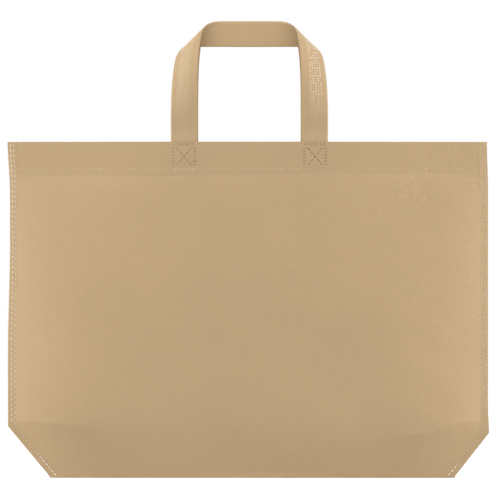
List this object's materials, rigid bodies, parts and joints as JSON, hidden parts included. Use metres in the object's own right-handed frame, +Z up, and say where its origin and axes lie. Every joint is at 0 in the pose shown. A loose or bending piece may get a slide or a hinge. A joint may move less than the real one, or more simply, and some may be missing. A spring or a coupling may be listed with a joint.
{
  "type": "non-woven carry bag",
  "caption": "Flat landscape carry bag of non-woven cloth with cut lower corners, a stitched hem and two sewn strap handles.",
  "frame": {"origin": "middle of the bottom fold, where the bag rests when it hangs or stands upright", "axes": "+X across the width to the right seen from the front, the front faces -Y, +Z up towards the handles"},
  "size_m": [0.5, 0.061, 0.4757],
  "materials": {
    "bag_cloth": "non-woven polypropylene with a fine emboss, soft sheen",
    "strap_cloth": "folded non-woven strap with a fine dot emboss",
    "white_thread": "off-white sewing thread",
    "tan_thread": "sewing thread in the cloth's colour"
  },
  "bodies": {
    "seams": {"left_side_seam": "bag_cloth", "right_side_seam": "bag_cloth", "left_corner_seam": "bag_cloth", "right_corner_seam": "bag_cloth", "bottom_fold": "bag_cloth", "left_side_stitches_outer": "white_thread", "left_side_stitches_inner": "white_thread", "right_side_stitches_outer": "white_thread", "right_side_stitches_inner": "white_thread", "left_corner_stitches": "white_thread", "right_corner_stitches": "white_thread"},
    "front_side": {"front_panel": "bag_cloth", "front_hem": "bag_cloth", "front_hem_stitches": "tan_thread", "front_left_strap_end": "strap_cloth", "front_right_strap_end": "strap_cloth", "front_left_box_stitches": "tan_thread", "front_right_box_stitches": "tan_thread"},
    "back_side": {"back_panel": "bag_cloth", "back_hem": "bag_cloth", "back_hem_stitches": "tan_thread", "back_left_strap_end": "strap_cloth", "back_right_strap_end": "strap_cloth", "back_left_box_stitches": "tan_thread", "back_right_box_stitches": "tan_thread"},
    "front_loop": {"front_handle": "strap_cloth"},
    "back_loop": {"back_handle": "strap_cloth"}
  },
  "joints": [
    {"name": "front_mouth", "type": "hinge", "parent": "seams", "child": "front_side", "pos_m": [0, 0, 0], "axis": [1, 0, 0], "range_deg": [0, 9]},
    {"name": "back_mouth", "type": "hinge", "parent": "seams", "child": "back_side", "pos_m": [0, 0, 0], "axis": [-1, 0, 0], "range_deg": [0, 9]},
    {"name": "front_handle_flop", "type": "hinge", "parent": "front_side", "child": "front_loop", "pos_m": [0, -0.02039, 0.35], "axis": [1, 0, 0], "range_deg": [0, 160]},
    {"name": "back_handle_flop", "type": "hinge", "parent": "back_side", "child": "back_loop", "pos_m": [0, 0.02039, 0.35], "axis": [-1, 0, 0], "range_deg": [0, 160]}
  ]
}
